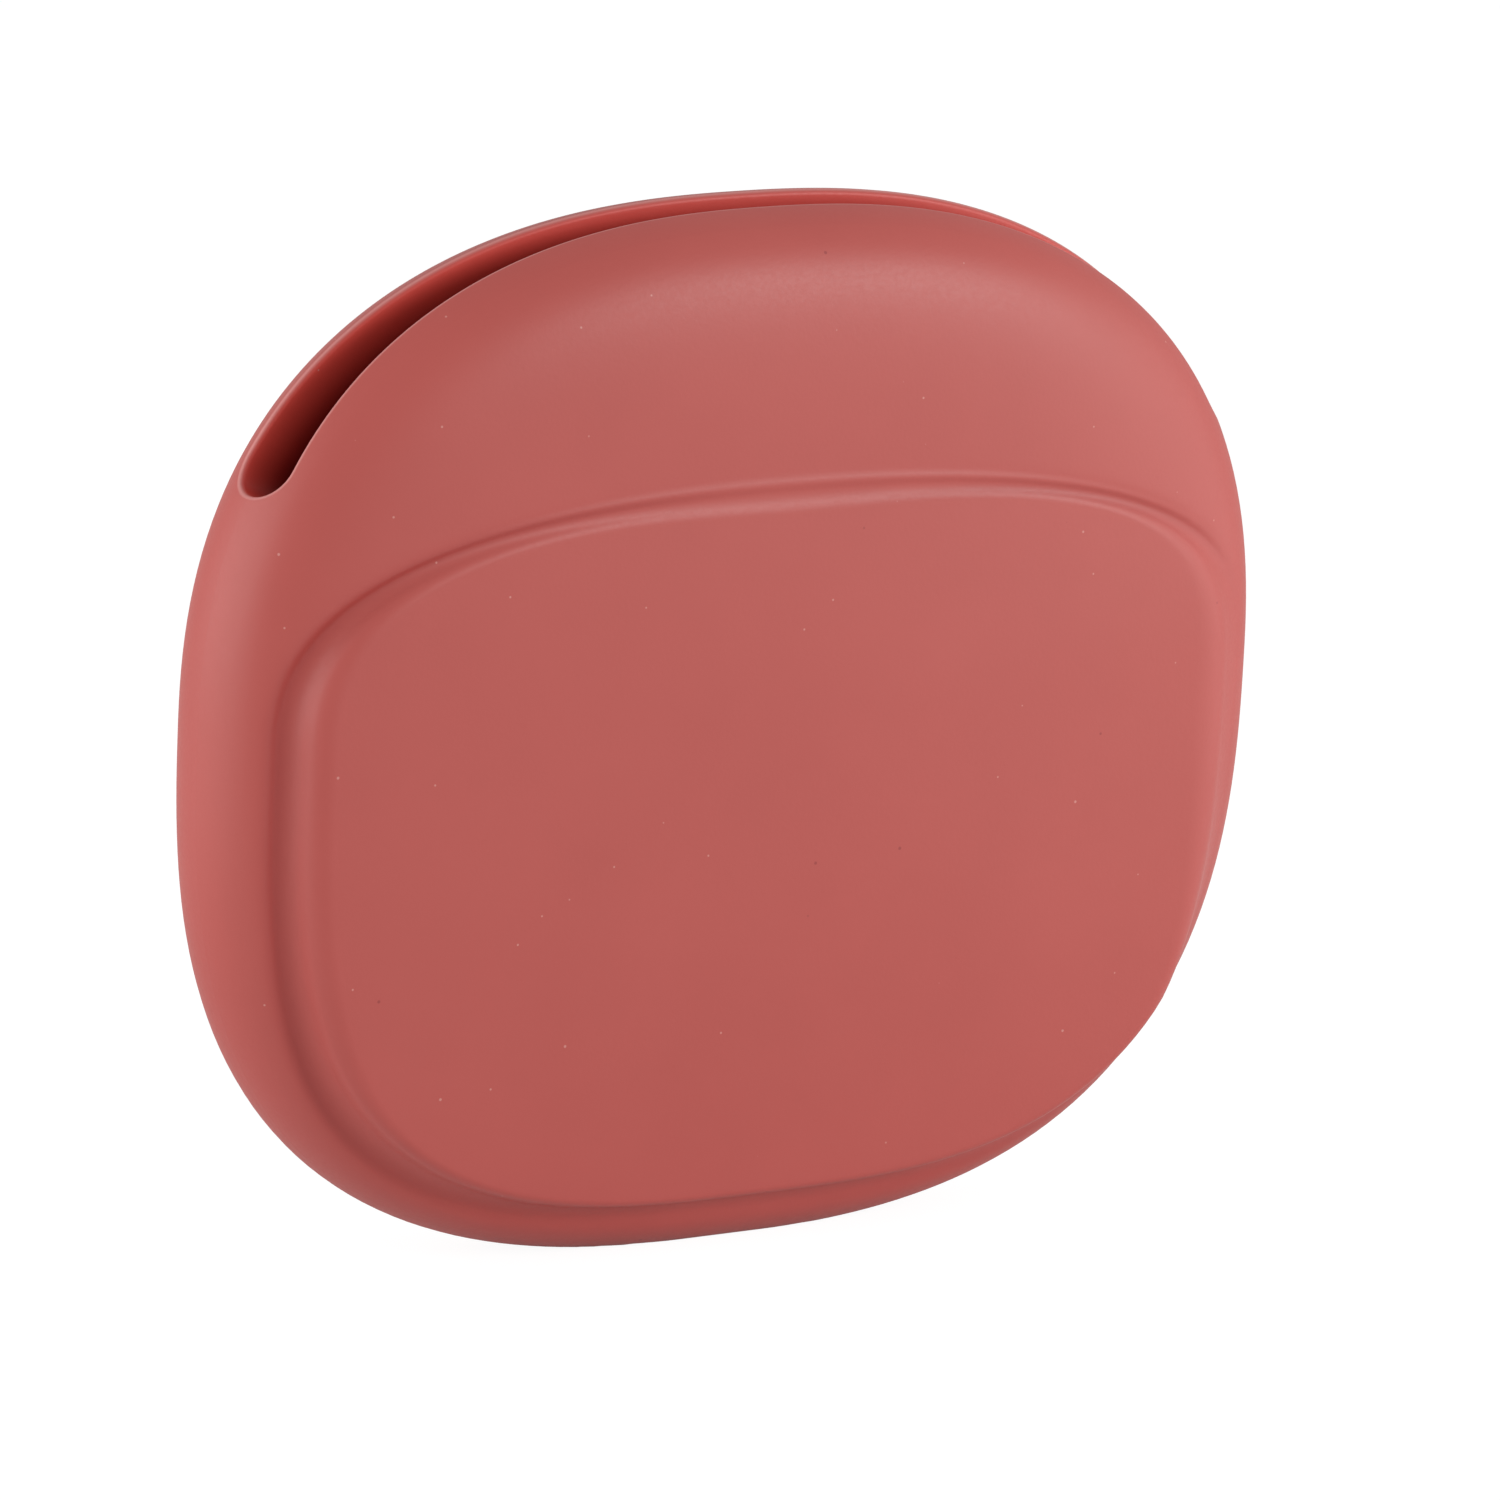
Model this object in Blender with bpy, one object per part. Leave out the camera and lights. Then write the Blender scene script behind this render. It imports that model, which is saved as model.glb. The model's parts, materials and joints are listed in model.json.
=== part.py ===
"""Earphone pouch: a palm-sized silicone moulding with a raised front panel and a slot mouth over its crown.

The pouch is one soft hollow moulding. Its two lips, the walls on either side of the mouth, bend outwards
to let earphones in, and spring back. Each lip is therefore a piece of its own here, hinged to the bowl
below it along the line where the silicone bends. Two flat magnets in each lip draw the mouth closed.

Metres. X to the right as the front is seen, -Y towards the front, +Z up. The origin is under the middle
of the pouch, on the surface that it stands on.
"""
import math

import bmesh
import bpy
from mathutils import Vector

# Overall size
WIDTH = 0.0900
HEIGHT = 0.0798
DEPTH = 0.0180
BACK_HALF = 0.0090          # from the mid plane, Y = 0, to the back face
WIDEST_HEIGHT = 0.0417      # height of the widest section, towards which every outline shrinks
BASE_LAND = 0.0008          # how much of the belly is taken off flat, for the pouch to stand on

# Outline seen from the front: a squared ellipse, rounder over the crown than under the belly
CROWN_POWER = 2.42
BELLY_POWER = 2.65

# Section: the back is flat in its middle, the front has a firm shoulder and a low dome inside it
BACK_FLAT_SHARE = 0.50      # share of the outline within which the back is flat
BACK_POWER = 3.6
SHOULDER_POWER = 17.0
DOME_POWER = 8.0
DOME_RISE = 0.0020          # from the shoulder to the middle of the front wall

# Raised front panel
PANEL_STEP = 0.0010         # from the dome's middle to the panel's face
PANEL_WIDTH = 0.0823
PANEL_TOP = 0.0594
PANEL_BOTTOM = 0.0030
PANEL_TOP_POWER = 2.69
PANEL_BOTTOM_POWER = 3.05
PANEL_EASE = 0.0010         # how wide the rounded step round the panel runs

# Walls
WALL = 0.0016               # at the front, beside the panel, and round the rim
BACK_WALL = 0.0022

# Mouth: a slot over the crown with round ends, a little closer in its middle
MOUTH_FRONT = -0.0026       # Y of the slot's front face at the top
MOUTH_END_FRONT = -0.0040   # and at the sides
MOUTH_GAP = 0.0030          # between the lips at the top
MOUTH_END_GAP = 0.0052      # and at the sides
MOUTH_END_HEIGHT = 0.0600   # the lowest point of the round ends

# Flex lines of the lips
FLEX_GAP = 0.0003           # between a lip and the bowl
FLEX_CLEARANCE = 0.0005     # from the mouth's round ends up to the flex lines
CLOSED_GAP = 0.0003         # left between the lips when they are pressed shut

# Magnets, two in each lip, each in a pocket of a pad inside the lip and closed in by a silicone plug
MAGNET_LENGTH = 0.0100
MAGNET_HEIGHT = 0.0030
MAGNET_THICKNESS = 0.0015
MAGNET_OFFSET = 0.0120      # from the middle of the mouth to the middle of a magnet
MAGNET_SKIN = 0.0008        # silicone between the magnet's pocket and the mouth
POCKET_TOP = 0.0746
PLUG_HEIGHT = 0.0010
PAD_MARGIN = 0.0020         # the pad's silicone beyond each end of the pocket
FIT = 0.0003                # clearance round a magnet and round a plug

# Mesh fineness
AROUND = 96                 # points round an outline
RIM_RINGS = 8               # rings over the front shoulder
DOME_RINGS = 8              # rings from the shoulder to the panel
DOME_CROWDING = 1.5         # how much closer together they lie near the shoulder
STEP_RINGS = 7              # rings over the panel's rounded step
BACK_RINGS = 11             # rings from the rim to the back's flat
CORE_RINGS = 8              # rings on each half of the hollow
MOUTH_STEPS = 12            # stations along the mouth
ARC_STEPS = 10              # steps round the mouth's round bottom

# Worked out from the sizes above
FRONT_HALF = DEPTH - BACK_HALF
SHOULDER_DEPTH = FRONT_HALF - PANEL_STEP - DOME_RISE
DOME_FRONT = SHOULDER_DEPTH + DOME_RISE
SHOULDER_SHARE = 0.955      # share of the outline where the rings begin to draw in to the panel
CORE_FLAT_SHARE = 0.42      # share of the hollow's outline that its flat front cap covers
FLEX_HEIGHT = MOUTH_END_HEIGHT + MOUTH_END_GAP / 2 + FLEX_CLEARANCE
LIP_HEIGHT = HEIGHT - FLEX_HEIGHT
CLOSING_ANGLE = math.asin((MOUTH_GAP - CLOSED_GAP) / 2 / LIP_HEIGHT)
BEYOND = 0.02               # how far a cutter reaches past what it cuts

SILICONE = {"colour": (0.53, 0.13, 0.105), "roughness": 0.55, "metallic": 0.0}
MAGNET_STEEL = {"colour": (0.62, 0.62, 0.63), "roughness": 0.30, "metallic": 1.0}


def clear_scene():
    for thing in list(bpy.data.objects):
        bpy.data.objects.remove(thing, do_unlink=True)


def make_material(name, look):
    material = bpy.data.materials.new(name)
    material.use_nodes = True
    shader = material.node_tree.nodes["Principled BSDF"]
    shader.inputs["Base Color"].default_value = (*look["colour"], 1.0)
    shader.inputs["Roughness"].default_value = look["roughness"]
    shader.inputs["Metallic"].default_value = look["metallic"]
    return material


# Outlines

def outline_reach(angle, half_width, up, down, up_power, down_power):
    """Distance from the centre to a squared ellipse whose upper and lower halves differ."""
    across = abs(math.cos(angle)) / half_width
    upright = math.sin(angle)
    reach = up if upright >= 0 else down
    power = up_power if upright >= 0 else down_power
    return (across ** power + (abs(upright) / reach) ** power) ** (-1 / power)


def body_reach(angle):
    return outline_reach(angle, WIDTH / 2, HEIGHT - WIDEST_HEIGHT, WIDEST_HEIGHT + BASE_LAND,
                         CROWN_POWER, BELLY_POWER)


def panel_reach(angle):
    return outline_reach(angle, PANEL_WIDTH / 2, PANEL_TOP - WIDEST_HEIGHT, WIDEST_HEIGHT - PANEL_BOTTOM,
                         PANEL_TOP_POWER, PANEL_BOTTOM_POWER)


def core_reach(angle):
    return body_reach(angle) - WALL


def angles():
    return [2 * math.pi * step / AROUND for step in range(AROUND)]


def ring(reach, depth):
    """One closed ring of points. reach and depth are functions of the angle."""
    return [Vector((reach(a) * math.cos(a), depth(a), WIDEST_HEIGHT + reach(a) * math.sin(a)))
            for a in angles()]


# Section: how far the surface stands from the mid plane at a share of the outline

def front_depth(share, shoulder=SHOULDER_DEPTH):
    share = min(max(share, 0.0), 1.0)
    return shoulder * math.sqrt(1 - share ** SHOULDER_POWER) + DOME_RISE * (1 - share ** DOME_POWER)


def back_depth(share, depth=BACK_HALF):
    beyond_flat = max(0.0, (share - BACK_FLAT_SHARE) / (1 - BACK_FLAT_SHARE))
    return depth * math.sqrt(max(0.0, 1 - min(beyond_flat, 1.0) ** BACK_POWER))


def shrinking_shares(last, count):
    """Shares of an outline from just inside 1 to last, closest together at the rim."""
    return [1 - (1 - last) * (step / count) ** 2 for step in range(1, count + 1)]


# Solids

def mesh_object(name, points, faces):
    mesh = bpy.data.meshes.new(name)
    mesh.from_pydata(points, [], faces)
    shape = bmesh.new()
    shape.from_mesh(mesh)
    bmesh.ops.recalc_face_normals(shape, faces=shape.faces)
    shape.to_mesh(mesh)
    shape.free()
    thing = bpy.data.objects.new(name, mesh)
    bpy.context.scene.collection.objects.link(thing)
    return thing


def loft(name, rings):
    """A closed solid through rings of equal count, with a flat cap on the first and the last."""
    count = len(rings[0])
    points = [point for one in rings for point in one]
    faces = []
    for row in range(len(rings) - 1):
        for step in range(count):
            after = (step + 1) % count
            faces.append((row * count + step, row * count + after,
                          (row + 1) * count + after, (row + 1) * count + step))
    faces.append(tuple(reversed(range(count))))
    faces.append(tuple((len(rings) - 1) * count + step for step in range(count)))
    return mesh_object(name, points, faces)


def box(name, low, high):
    corners = [Vector((x, y, z)) for z in (low[2], high[2]) for y in (low[1], high[1]) for x in (low[0], high[0])]
    faces = [(0, 2, 3, 1), (4, 5, 7, 6), (0, 1, 5, 4), (2, 6, 7, 3), (0, 4, 6, 2), (1, 3, 7, 5)]
    return mesh_object(name, corners, faces)


def prism_along_x(name, profile, half_length):
    """Extrudes a closed profile of (Y, Z) points to both sides of X = 0."""
    count = len(profile)
    points = [Vector((side * half_length, y, z)) for side in (-1, 1) for y, z in profile]
    faces = [(step, (step + 1) % count, count + (step + 1) % count, count + step) for step in range(count)]
    faces.append(tuple(reversed(range(count))))
    faces.append(tuple(range(count, 2 * count)))
    return mesh_object(name, points, faces)


def as_guide(thing):
    thing.hide_render = True
    thing.display_type = 'WIRE'


def boolean(target, tool, operation):
    modifier = target.modifiers.new(operation.title() + " " + tool.name, 'BOOLEAN')
    modifier.operation = operation
    modifier.object = tool
    modifier.solver = 'EXACT'
    as_guide(tool)


def settle(thing):
    """Turns an object's modifiers into its mesh, and takes the guides that they used away."""
    tools = [modifier.object for modifier in thing.modifiers]
    depsgraph = bpy.context.evaluated_depsgraph_get()
    settled = bpy.data.meshes.new_from_object(thing.evaluated_get(depsgraph))
    thing.modifiers.clear()
    thing.data = settled
    for tool in tools:
        bpy.data.objects.remove(tool, do_unlink=True)


def finish(thing, material, crease_degrees=35):
    thing.data.materials.clear()
    thing.data.materials.append(material)
    thing.data.shade_smooth()
    thing.data.set_sharp_from_angle(angle=math.radians(crease_degrees))


# The moulding

def outer_rings():
    rings = [ring(lambda a, s=share: s * body_reach(a), lambda a, s=share: back_depth(s))
             for share in reversed(shrinking_shares(BACK_FLAT_SHARE, BACK_RINGS))]
    rings.append(ring(body_reach, lambda a: 0.0))
    for share in shrinking_shares(SHOULDER_SHARE, RIM_RINGS):
        rings.append(ring(lambda a, s=share: s * body_reach(a), lambda a, s=share: -front_depth(s)))
    for step in range(1, DOME_RINGS + 1):
        part = (step / DOME_RINGS) ** DOME_CROWDING

        def reach(a, part=part):
            return (1 - part) * SHOULDER_SHARE * body_reach(a) + part * panel_reach(a)

        rings.append(ring(reach, lambda a, r=reach: -front_depth(r(a) / body_reach(a))))
    rings.extend(panel_rings())
    return rings


def panel_rings():
    """The rounded step from the dome up to the panel's flat face, from its foot inwards."""
    rings = []
    for step in range(1, STEP_RINGS + 1):
        inset = 3 * PANEL_EASE * step / STEP_RINGS
        risen = 1 - math.exp(-(inset / PANEL_EASE) ** 2) if step < STEP_RINGS else 1.0

        def depth(a, risen=risen):
            foot = front_depth(panel_reach(a) / body_reach(a))
            return -(foot + risen * (FRONT_HALF - foot))

        rings.append(ring(lambda a, inset=inset: panel_reach(a) - inset, depth))
    return rings


def hollow():
    """The core that forms the pouch's inside, a wall's thickness within the dome and within the back."""
    rings = [ring(lambda a, s=share: s * core_reach(a), lambda a, s=share: back_depth(s, BACK_HALF - BACK_WALL))
             for share in reversed(shrinking_shares(BACK_FLAT_SHARE, CORE_RINGS))]
    rings.append(ring(core_reach, lambda a: 0.0))
    for share in shrinking_shares(CORE_FLAT_SHARE, CORE_RINGS):
        rings.append(ring(lambda a, s=share: s * core_reach(a),
                          lambda a, s=share: -front_depth(s, SHOULDER_DEPTH - WALL)))
    return loft("hollow", rings)


def mouth_faces(x):
    """Y of the mouth's front face and of its back face at X. The slot widens from the top to the sides."""
    bend = min(1.0, abs(x) / (WIDTH / 2)) ** 2
    front = MOUTH_FRONT + (MOUTH_END_FRONT - MOUTH_FRONT) * bend
    return front, front + MOUTH_GAP + (MOUTH_END_GAP - MOUTH_GAP) * bend


def mouth_cutter():
    """A slot seen end on as a U, running along X, through the crown from one round end to the other."""
    rings = []
    for step in range(MOUTH_STEPS + 1):
        x = WIDTH / 2 * (2 * step / MOUTH_STEPS - 1)
        front, back = mouth_faces(x)
        middle, half = (front + back) / 2, (back - front) / 2
        section = [Vector((x, front, HEIGHT + BEYOND)), Vector((x, back, HEIGHT + BEYOND))]
        for turn in range(ARC_STEPS + 1):
            angle = math.pi * turn / ARC_STEPS
            section.append(Vector((x, middle + half * math.cos(angle),
                                   MOUTH_END_HEIGHT + MOUTH_END_GAP / 2 * (1 - math.sin(angle)))))
        rings.append(section)
    return loft("mouth_cutter", rings)


def pad_bottom():
    return POCKET_TOP - FIT - MAGNET_HEIGHT - FIT - PLUG_HEIGHT


def pad_block(hand):
    """Silicone left standing in the hollow, under both lips, for a facing pair of magnets."""
    middle = hand * MAGNET_OFFSET
    half_length = MAGNET_LENGTH / 2 + FIT + PAD_MARGIN
    return box(f"pad_block_{hand}", (middle - half_length, -DEPTH, pad_bottom()),
               (middle + half_length, DEPTH, HEIGHT + BEYOND))


def pocket_faces(side):
    """The least and the greatest Y of the magnet pockets of one lip. side is -1 for the front lip."""
    front, back = mouth_faces(MAGNET_OFFSET + MAGNET_LENGTH / 2 + FIT)
    deep = MAGNET_THICKNESS + 2 * FIT
    low = front - MAGNET_SKIN - deep if side < 0 else back + MAGNET_SKIN
    return low, low + deep


def slab_in_pocket(name, side, hand, margin, low_z, high_z):
    """A box in one magnet pocket, margin clear of its walls. hand is -1 for the left pocket of a lip."""
    low_y, high_y = pocket_faces(side)
    half_length = MAGNET_LENGTH / 2 + FIT
    middle = hand * MAGNET_OFFSET
    return box(name, (middle - half_length + margin, low_y + margin, low_z),
               (middle + half_length - margin, high_y - margin, high_z))


def moulding():
    """The whole pouch in one piece: the shell, its mouth, its magnet pockets and its flat to stand on."""
    core = hollow()
    for hand in (-1, 1):
        boolean(core, pad_block(hand), 'DIFFERENCE')
    settle(core)
    shell = loft("moulding", outer_rings())
    boolean(shell, core, 'DIFFERENCE')
    boolean(shell, mouth_cutter(), 'DIFFERENCE')
    for side in (-1, 1):
        for hand in (-1, 1):
            pocket = slab_in_pocket(f"pocket_{side}_{hand}", side, hand, 0.0, pad_bottom() - PAD_MARGIN,
                                    POCKET_TOP)
            boolean(shell, pocket, 'DIFFERENCE')
    ground = box("ground", (-WIDTH, -DEPTH, -BEYOND), (WIDTH, DEPTH, 0.0))
    boolean(shell, ground, 'DIFFERENCE')
    settle(shell)
    return shell


def bowl_region():
    return box("bowl_region", (-WIDTH, -DEPTH, -BEYOND), (WIDTH, DEPTH, FLEX_HEIGHT))


def flex_axis(side):
    """Y and Z of a lip's flex line, on the outer face of its wall. side is -1 for the front lip."""
    return (-DOME_FRONT if side < 0 else BACK_HALF), FLEX_HEIGHT + FLEX_GAP / 2


def lip_region(side):
    """What belongs to one lip. Its lower face rises inwards, and lies flat when the lip is pressed shut."""
    line_y, _ = flex_axis(side)
    parting = MOUTH_FRONT + MOUTH_GAP / 2
    low = FLEX_HEIGHT + FLEX_GAP
    rise = abs(parting - line_y) * math.tan(CLOSING_ANGLE)
    profile = [(side * DEPTH, low), (line_y, low), (parting, low + rise),
               (parting, HEIGHT + BEYOND), (side * DEPTH, HEIGHT + BEYOND)]
    return prism_along_x("lip_region", profile, WIDTH)


def place_origin(thing, y, z):
    """Moves an object's origin onto a line along X without moving its mesh."""
    offset = Vector((0.0, y, z))
    for vertex in thing.data.vertices:
        vertex.co -= offset
    thing.location = offset


def carve(name, source, region, material):
    """One node: the part of the moulding that lies in a region."""
    node = bpy.data.objects.new(name, source.data.copy())
    bpy.context.scene.collection.objects.link(node)
    boolean(node, region, 'INTERSECT')
    settle(node)
    finish(node, material)
    return node


def keep_with(child, parent):
    child.parent = parent
    child.matrix_parent_inverse = parent.matrix_world.inverted()


def build():
    clear_scene()
    silicone = make_material("silicone", SILICONE)
    magnet_steel = make_material("magnet_nickel", MAGNET_STEEL)
    whole = moulding()
    bowl = carve("pouch_body", whole, bowl_region(), silicone)
    for side, word in ((-1, "front"), (1, "back")):
        lip = carve(f"{word}_lip", whole, lip_region(side), silicone)
        place_origin(lip, *flex_axis(side))
        lip.parent = bowl
        bpy.context.view_layer.update()
        for hand, hand_word in ((-1, "left"), (1, "right")):
            plug_top = pad_bottom() + PLUG_HEIGHT
            plug = slab_in_pocket(f"{word}_plug_{hand_word}", side, hand, FIT, pad_bottom(), plug_top)
            magnet = slab_in_pocket(f"{word}_magnet_{hand_word}", side, hand, FIT, plug_top + FIT,
                                    POCKET_TOP - FIT)
            finish(plug, silicone)
            finish(magnet, magnet_steel)
            keep_with(plug, lip)
            keep_with(magnet, lip)
    bpy.data.objects.remove(whole, do_unlink=True)


build()
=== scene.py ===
# %% [markdown]
# # Earphone pouch in matte silicone
#
# The object is a palm-sized pouch: one soft moulding with a raised front panel and a slot mouth over its
# crown. CAD gave its size, its joints and a plain solid. Here it gets its looks. This first cell loads the
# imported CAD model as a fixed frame, so that every piece made below lands where the CAD says.

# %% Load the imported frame
import json
import math
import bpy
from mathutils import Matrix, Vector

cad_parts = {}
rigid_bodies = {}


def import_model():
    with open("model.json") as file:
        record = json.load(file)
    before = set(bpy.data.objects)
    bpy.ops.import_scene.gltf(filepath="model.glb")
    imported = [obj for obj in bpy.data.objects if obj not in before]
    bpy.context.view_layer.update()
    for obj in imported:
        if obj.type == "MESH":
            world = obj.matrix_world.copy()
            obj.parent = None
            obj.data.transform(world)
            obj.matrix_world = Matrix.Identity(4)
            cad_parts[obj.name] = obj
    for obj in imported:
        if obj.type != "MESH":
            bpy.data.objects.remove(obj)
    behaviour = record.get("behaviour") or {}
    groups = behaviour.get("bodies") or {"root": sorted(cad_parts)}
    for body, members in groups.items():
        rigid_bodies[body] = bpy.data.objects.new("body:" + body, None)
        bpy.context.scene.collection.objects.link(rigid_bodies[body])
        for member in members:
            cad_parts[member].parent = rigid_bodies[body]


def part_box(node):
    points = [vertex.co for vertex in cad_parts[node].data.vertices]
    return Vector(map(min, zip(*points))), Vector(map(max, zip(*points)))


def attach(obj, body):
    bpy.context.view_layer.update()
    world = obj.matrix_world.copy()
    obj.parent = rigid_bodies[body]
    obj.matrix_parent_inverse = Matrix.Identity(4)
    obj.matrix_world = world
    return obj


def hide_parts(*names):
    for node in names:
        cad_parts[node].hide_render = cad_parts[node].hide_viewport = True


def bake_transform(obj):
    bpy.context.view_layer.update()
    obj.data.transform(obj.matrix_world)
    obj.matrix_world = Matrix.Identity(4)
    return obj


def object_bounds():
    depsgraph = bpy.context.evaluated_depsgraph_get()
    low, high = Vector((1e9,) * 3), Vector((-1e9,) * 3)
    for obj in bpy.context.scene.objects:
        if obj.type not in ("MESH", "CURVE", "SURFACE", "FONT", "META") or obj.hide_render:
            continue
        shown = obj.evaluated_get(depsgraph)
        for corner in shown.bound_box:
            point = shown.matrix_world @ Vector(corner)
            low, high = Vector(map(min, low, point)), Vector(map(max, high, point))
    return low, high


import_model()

from types import SimpleNamespace

import bmesh
import bpy
import numpy as np
from mathutils import Matrix, Vector


def box_in_mm(bounds):
    return [[round(value * 1000, 2) for value in corner] for corner in bounds]


cad_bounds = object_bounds()
print("CAD box in mm:", box_in_mm(cad_bounds))

# %% [markdown]
# ## Sizes
#
# A maker keeps a drawing with the sizes on it. The outline is a squared ellipse about a centre at the widest
# height. Its upper half is rounder than its lower half, so each half has its own reach and its own power.
# Width and depth come from the CAD box, and the outline, the back and the walls repeat the CAD solid. The
# dome and the panel's edge are softer here than in that solid, so they have sizes of their own. All sizes
# are in metres, apart from the powers and the shares.

# %% Name the sizes of the moulding
half_width, half_depth, _ = (round(value, 4) for value in cad_bounds[1])
SIZES = {
    # The outline, seen from the front
    "half_width": half_width,
    "widest_height": 0.0417,
    "crown_reach": 0.0381,
    "belly_reach": 0.0425,
    "crown_power": 2.42,
    "belly_power": 2.65,
    # The section: how deep the front and the back stand from the mid plane, and how thick the walls are
    "shoulder_depth": 0.0060,
    "shoulder_power": 17.0,
    "dome_rise": 0.00245,
    "dome_power": 5.9,
    "back_depth": half_depth,
    "back_flat_share": 0.50,
    "back_power": 3.6,
    "wall": 0.0016,
    "back_wall": 0.0022,
    # The panel's foot, seen from the front, from the centre outwards
    "panel_left": 0.0404,
    "panel_right": 0.0420,
    "panel_up": 0.0172,
    "panel_down": 0.0384,
    "panel_up_power": 2.69,
    "panel_down_power": 3.05,
    # The panel's face, and how far it falls back towards each part of its edge
    "panel_front": half_depth,
    "crown_at_side": 0.0005,
    "crown_at_top": 0.00045,
    "crown_at_bottom": 0.0008,
    "crown_at_corner": 0.0003,
    # How wide the step up to the face is, and the share of it that the fillet at its foot takes
    "step_at_top": 0.0016,
    "step_at_left": 0.00324,
    "step_at_right": 0.0055,
    "step_at_bottom": 0.0017,
    "fillet_at_side": 0.40,
    "fillet_at_top": 0.56,
    # The groove at the foot, and the ridge beside it
    "groove_depth": 0.00080,
    "groove_width": 0.00100,
    "ridge_height": 0.00016,
    "ridge_place": 0.00060,
    "ridge_width": 0.00042,
}
sizes = SimpleNamespace(**SIZES)
print(len(SIZES), "sizes; the pouch is", round(sizes.half_width * 2000, 1), "mm wide")

# %% [markdown]
# ## A calculator that also writes nodes
#
# The form follows a rule, so Geometry Nodes can make it. A rule with many terms takes many Math nodes, and
# wiring them by hand hides the formula. A small class helps: arithmetic on a `Wire` adds the Math node and
# gives back its output. The same formula then works on plain numbers too, which the net needs further down.

# %% Make the calculator
def math_node(operation, *values):
    tree = next(value.socket.id_data for value in values if isinstance(value, Wire))
    node = tree.nodes.new("ShaderNodeMath")
    node.operation = operation
    for slot, value in zip(node.inputs, values):
        if isinstance(value, Wire):
            tree.links.new(value.socket, slot)
        else:
            slot.default_value = value
    return Wire(node.outputs[0])


class Wire:
    """One value inside a node tree."""

    def __init__(self, socket):
        self.socket = socket

    def __add__(self, other):
        return math_node("ADD", self, other)

    def __radd__(self, other):
        return math_node("ADD", other, self)

    def __sub__(self, other):
        return math_node("SUBTRACT", self, other)

    def __rsub__(self, other):
        return math_node("SUBTRACT", other, self)

    def __mul__(self, other):
        return math_node("MULTIPLY", self, other)

    def __rmul__(self, other):
        return math_node("MULTIPLY", other, self)

    def __truediv__(self, other):
        return math_node("DIVIDE", self, other)

    def __rtruediv__(self, other):
        return math_node("DIVIDE", other, self)

    def __pow__(self, other):
        return math_node("POWER", self, other)

    def __neg__(self):
        return math_node("MULTIPLY", self, -1.0)


def either(operation, function):
    """A function that writes a node for wires and computes with numbers."""
    def apply(*values):
        if any(isinstance(value, Wire) for value in values):
            return math_node(operation, *values)
        return function(*values)
    return apply


sine = either("SINE", np.sin)
cosine = either("COSINE", np.cos)
exponential = either("EXPONENT", np.exp)
distance_from_zero = either("ABSOLUTE", np.abs)
larger = either("MAXIMUM", np.maximum)
smaller = either("MINIMUM", np.minimum)
above = either("GREATER_THAN", lambda value, limit: np.where(value > limit, 1.0, 0.0))
print("the calculator gives", sine(math.pi / 2), "for the sine of a quarter turn")

# %% [markdown]
# ## The rule of the form
#
# A point of the skin is named by its turn round the outline and its share of the way from the middle to the
# rim. The outline rule says how far the rim is at that turn. The depth rule says how far the skin stands
# from the mid plane at that share. The front has a firm shoulder and a low dome. The back is flat in its
# middle and rolls round to the rim.

# %% Write the rules of the outline and the depth
def outline_reach(turn, half_width, up, down, up_power, down_power):
    across = distance_from_zero(cosine(turn)) / half_width
    upright = distance_from_zero(sine(turn))
    upper = (across ** up_power + (upright / up) ** up_power) ** (-1.0 / up_power)
    lower = (across ** down_power + (upright / down) ** down_power) ** (-1.0 / down_power)
    is_up = above(sine(turn), 0.0)
    return upper * is_up + lower * (1.0 - is_up)


def body_reach(turn, s):
    return outline_reach(turn, s.half_width, s.crown_reach, s.belly_reach, s.crown_power, s.belly_power)


def front_depth(share, s, thinner=0.0):
    shoulder = larger(1.0 - share ** s.shoulder_power, 0.0) ** 0.5
    return (s.shoulder_depth - thinner) * shoulder + s.dome_rise * (1.0 - share ** s.dome_power)


def back_depth(share, s, thinner=0.0):
    past_flat = larger(share - s.back_flat_share, 0.0) / (1.0 - s.back_flat_share)
    return (s.back_depth - thinner) * larger(1.0 - past_flat ** s.back_power, 0.0) ** 0.5


height_in_mm = 1000 * (sizes.widest_height + float(body_reach(math.pi / 2, sizes)))
print("the rule gives a height of", round(height_in_mm, 2), "mm")

# %% [markdown]
# ## The raised panel
#
# The panel is a smaller squared ellipse that stands up from the dome. Two arcs lead up to its face: a fillet
# at the foot, and a rounding that goes on from it at the same steepness. On the left the foot lies in a
# shallow groove, which shows as a dark valley. On the right there is no valley: the groove fades out and the
# step grows wide and soft. A faint ridge runs along the top, where the dome's skin turns down to the foot.
# The face itself has a low crown. Each of these has its own size at the side, the top and the bottom, and
# the rule slides from one to the next as the turn goes round a corner.

# %% Write the rule of the panel
SIDE_POWER = 2.7                # how quickly the side's sizes give way to others round a corner
WIDE_STEP_POWER = 9.0           # the same for the wide step, which keeps to the right side's middle
GROOVE_LOST_AT_TOP, GROOVE_LOST_AT_BOTTOM = 0.9, 0.5
FADE_POWER_BELOW, FADE_POWER_ABOVE = 2.0, 12.0
CORNER_PEAK = 4.0               # side share times top share is a quarter at most, and this makes it 1
LOWEST_STEP = 0.0001
STEEPEST_STEP = 1.15            # the least width of a step for each unit of its height


def left_or_right(turn, at_left, at_right):
    return at_left + (at_right - at_left) * above(cosine(turn), 0.0)


def fade_to_right(turn):
    """1 on the left half. On the right half it falls to 0, early below and late above."""
    is_up = above(sine(turn), 0.0)
    power = FADE_POWER_BELOW + (FADE_POWER_ABOVE - FADE_POWER_BELOW) * is_up
    return 1.0 - larger(cosine(turn), 0.0) ** power


def panel_half_width(turn, s):
    return left_or_right(turn, s.panel_left, s.panel_right)


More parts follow.
